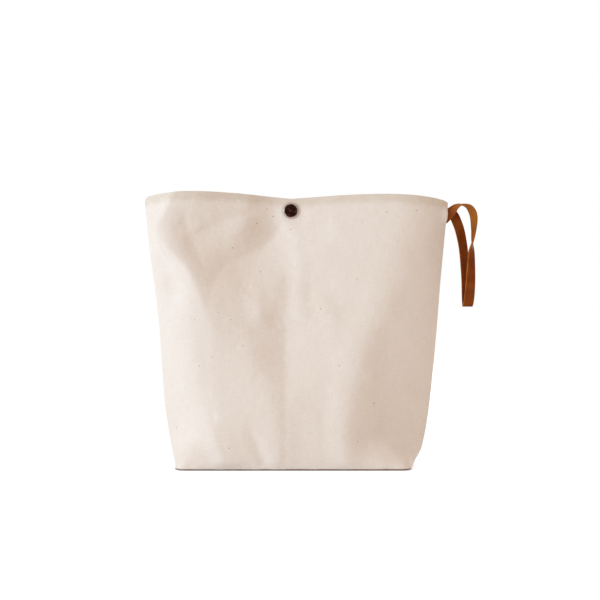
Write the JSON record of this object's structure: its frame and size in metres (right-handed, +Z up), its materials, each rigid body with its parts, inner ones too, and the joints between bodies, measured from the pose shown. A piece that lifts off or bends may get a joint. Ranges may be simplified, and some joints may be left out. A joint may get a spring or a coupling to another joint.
{
  "type": "reusable shopping bag",
  "caption": "Boxed canvas pouch bag with a press stud that closes its mouth and a leather wrist loop in one side seam.",
  "frame": {"origin": "centre of the base's underside, on the surface that the bag stands on", "axes": "+X along the bag's length towards the wrist loop, -Y to the front, +Z up"},
  "size_m": [0.3323, 0.0888, 0.2711],
  "materials": {
    "canvas": "natural unbleached plain-weave cotton, matt",
    "canvas_inner": "the same cotton seen from inside, matt",
    "leather": "tan vegetable-tanned leather with raw edges, satin",
    "stud_metal": "dark antique brown plating, half gloss",
    "spring_steel": "plain wire"
  },
  "bodies": {
    "root": {"left_end_front": "canvas", "left_end_back": "canvas", "left_hem": "canvas_inner", "left_seam_allowance": "canvas_inner", "left_corner_seam": "canvas_inner", "right_end_front": "canvas", "right_end_back": "canvas", "right_hem": "canvas_inner", "right_seam_allowance": "canvas_inner", "right_corner_seam": "canvas_inner", "base_panel": "canvas", "loop_root": "leather"},
    "front": {"front_wall": "canvas", "front_hem": "canvas_inner", "front_stud_patch": "canvas_inner", "snap_cap": "stud_metal", "snap_socket": "stud_metal", "snap_spring": "spring_steel"},
    "back": {"back_wall": "canvas", "back_hem": "canvas_inner", "back_stud_patch": "canvas_inner", "snap_stud": "stud_metal", "snap_post": "stud_metal"},
    "loop": {"wrist_loop": "leather"}
  },
  "joints": [
    {"name": "front_wall_open", "type": "hinge", "parent": "root", "child": "front", "pos_m": [0, -0.042, 0], "axis": [1, 0, 0], "range_deg": [0, 9]},
    {"name": "back_wall_open", "type": "hinge", "parent": "root", "child": "back", "pos_m": [0, 0.042, 0], "axis": [-1, 0, 0], "range_deg": [0, 9]},
    {"name": "wrist_loop_lift", "type": "hinge", "parent": "root", "child": "loop", "pos_m": [0.1646, 0, 0.258], "axis": [0, -1, 0], "range_deg": [0, 120]}
  ]
}
